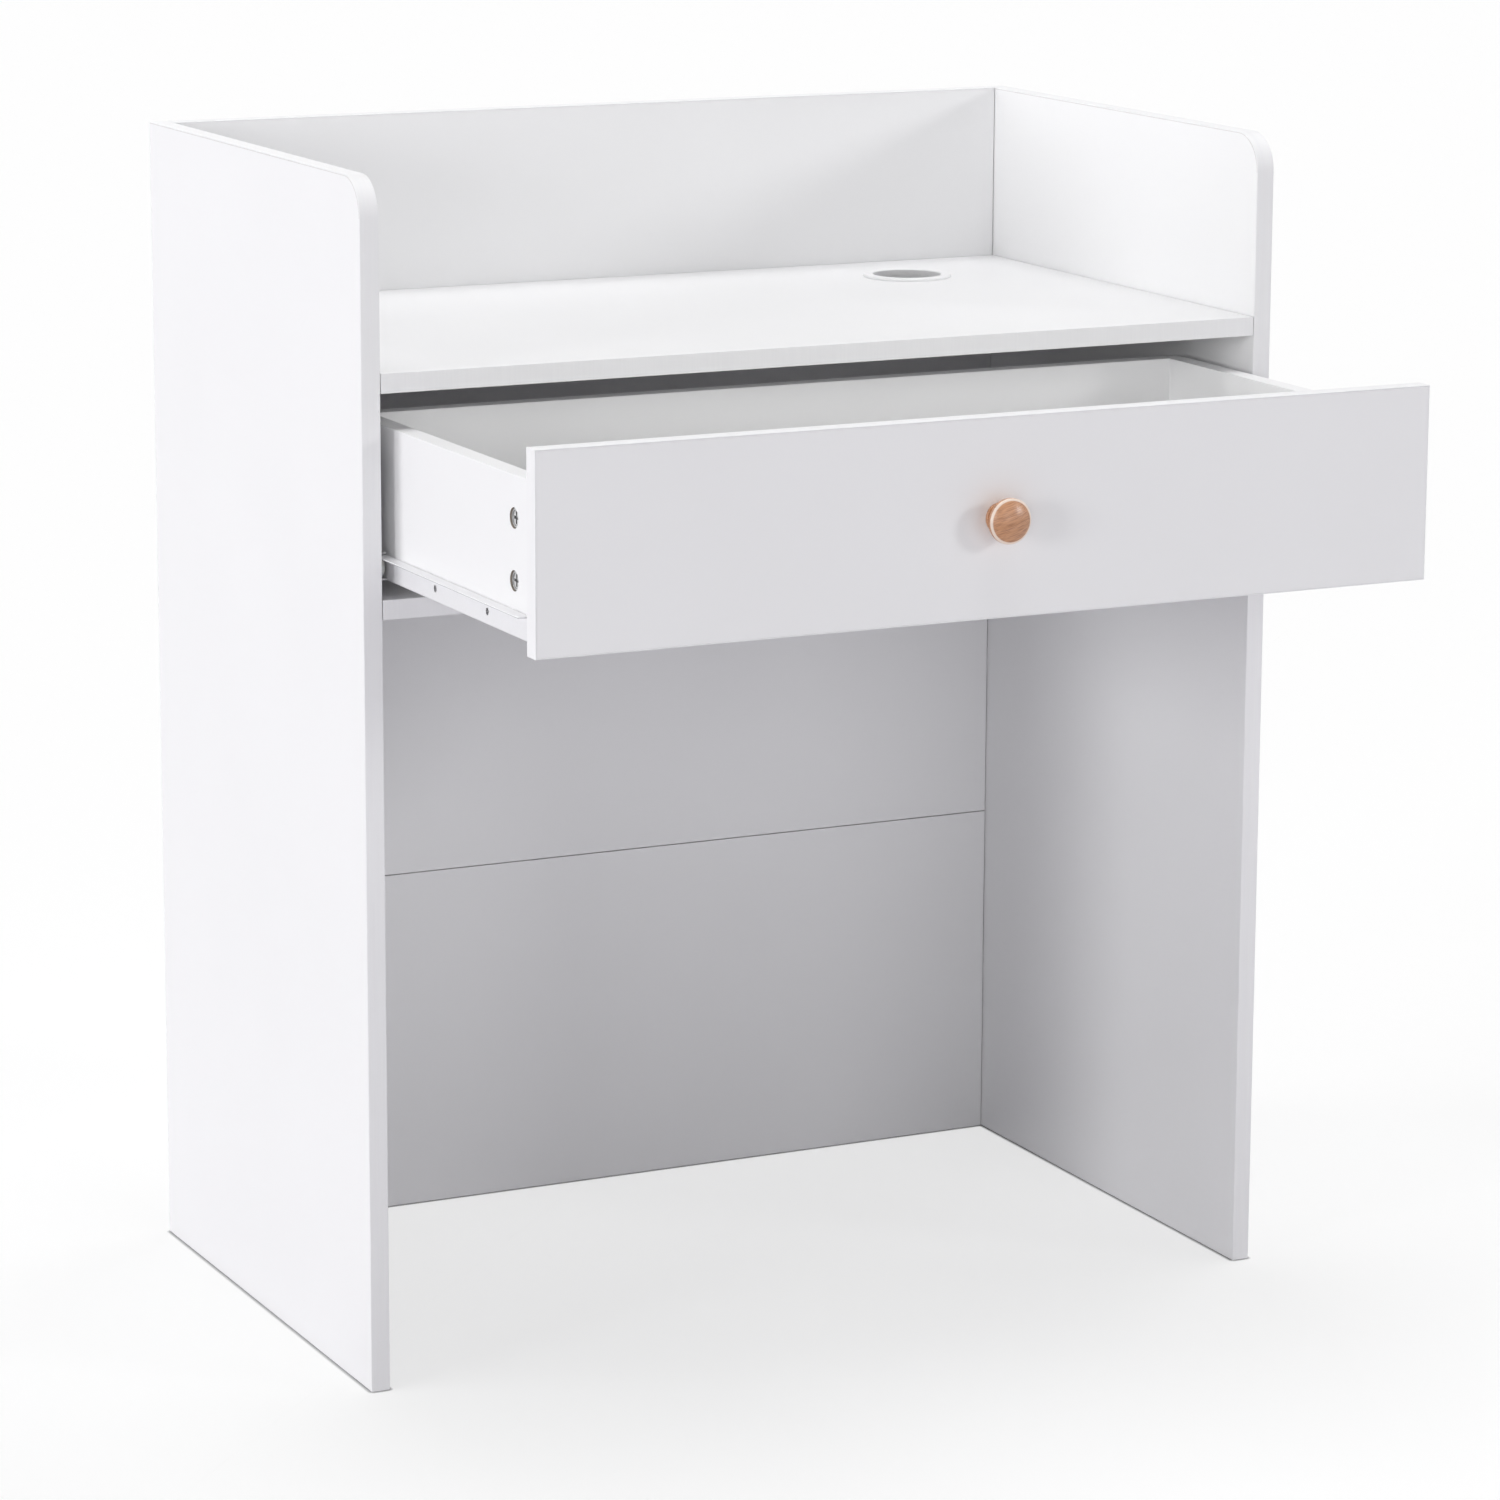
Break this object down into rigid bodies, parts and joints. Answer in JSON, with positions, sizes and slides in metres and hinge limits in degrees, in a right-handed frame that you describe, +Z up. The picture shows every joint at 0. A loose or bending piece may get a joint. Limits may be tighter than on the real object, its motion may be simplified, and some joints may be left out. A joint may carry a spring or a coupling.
{
  "type": "reception desk",
  "caption": "Small white standing reception desk with a raised surround, a cable grommet in its desktop and a wide inset drawer on roller slides, drawn with the drawer open.",
  "frame": {"origin": "on the floor, at mid-width, in the plane of the visitor-side face of the back", "axes": "+Z up, +Y towards the visitors, +X to the right as seen by the person at the drawer side"},
  "size_m": [0.78, 0.7385, 0.93],
  "materials": {
    "white_board": "white melamine foil on chipboard, satin",
    "edge_strip": "white plastic edge strip, satin",
    "drawer_bottom_board": "thin fibreboard, lacquered white",
    "slide_steel": "cold-rolled sheet steel, white powder coat",
    "roller_plastic": "moulded nylon",
    "grommet_plastic": "white moulded plastic, satin gloss",
    "zinc": "die-cast zinc, bright",
    "screw_steel": "zinc-plated steel",
    "knob_wood": "turned beech, clear satin lacquer",
    "dowel_wood": "fluted beech dowel, bare"
  },
  "bodies": {
    "desk_frame": {"left_side_panel": "white_board", "right_side_panel": "white_board", "left_side_edge_strip": "edge_strip", "right_side_edge_strip": "edge_strip", "desktop": "white_board", "desktop_edge_strip": "edge_strip", "drawer_shelf": "white_board", "drawer_shelf_edge_strip": "edge_strip", "upper_back_panel": "white_board", "upper_back_edge_strip": "edge_strip", "lower_back_panel": "white_board", "cable_grommet": "grommet_plastic", "carcass_dowels": "dowel_wood", "carcass_cam_locks": "zinc", "carcass_cam_bolts": "screw_steel", "left_cabinet_rail": "slide_steel", "right_cabinet_rail": "slide_steel", "cabinet_rail_screws": "screw_steel", "front_roller_axles": "screw_steel"},
    "drawer": {"drawer_front": "white_board", "drawer_front_edge_strip": "edge_strip", "drawer_left_side": "white_board", "drawer_right_side": "white_board", "drawer_back": "white_board", "drawer_bottom": "drawer_bottom_board", "drawer_knob": "knob_wood", "knob_screw": "screw_steel", "drawer_cam_locks": "zinc", "drawer_cam_bolts": "screw_steel", "drawer_dowels": "dowel_wood", "drawer_back_screws": "screw_steel", "left_drawer_runner": "slide_steel", "right_drawer_runner": "slide_steel", "runner_screws": "screw_steel", "rear_roller_axles": "screw_steel"},
    "left_front_wheel": {"left_front_roller": "roller_plastic"},
    "right_front_wheel": {"right_front_roller": "roller_plastic"},
    "left_rear_wheel": {"left_rear_roller": "roller_plastic"},
    "right_rear_wheel": {"right_rear_roller": "roller_plastic"}
  },
  "joints": [
    {"name": "drawer_slide", "type": "slide", "parent": "desk_frame", "child": "drawer", "axis": [0, 1, 0], "range_m": [0, 0.266]},
    {"name": "left_front_roller_turn", "type": "hinge", "parent": "desk_frame", "child": "left_front_wheel", "pos_m": [-0.36945, -0.4264, 0.6365], "axis": [1, 0, 0], "range_deg": [-1906, 0]},
    {"name": "left_rear_roller_turn", "type": "hinge", "parent": "drawer", "child": "left_rear_wheel", "pos_m": [-0.36805, -0.363, 0.6365], "axis": [1, 0, 0], "range_deg": [-1906, 0]},
    {"name": "right_front_roller_turn", "type": "hinge", "parent": "desk_frame", "child": "right_front_wheel", "pos_m": [0.36945, -0.4264, 0.6365], "axis": [1, 0, 0], "range_deg": [-1906, 0]},
    {"name": "right_rear_roller_turn", "type": "hinge", "parent": "drawer", "child": "right_rear_wheel", "pos_m": [0.36805, -0.363, 0.6365], "axis": [1, 0, 0], "range_deg": [-1906, 0]}
  ],
  "couplings": [
    {"joint": "left_front_roller_turn", "follows": "drawer_slide", "rad_per_m": -125},
    {"joint": "left_rear_roller_turn", "follows": "drawer_slide", "rad_per_m": -125},
    {"joint": "right_front_roller_turn", "follows": "drawer_slide", "rad_per_m": -125},
    {"joint": "right_rear_roller_turn", "follows": "drawer_slide", "rad_per_m": -125}
  ]
}
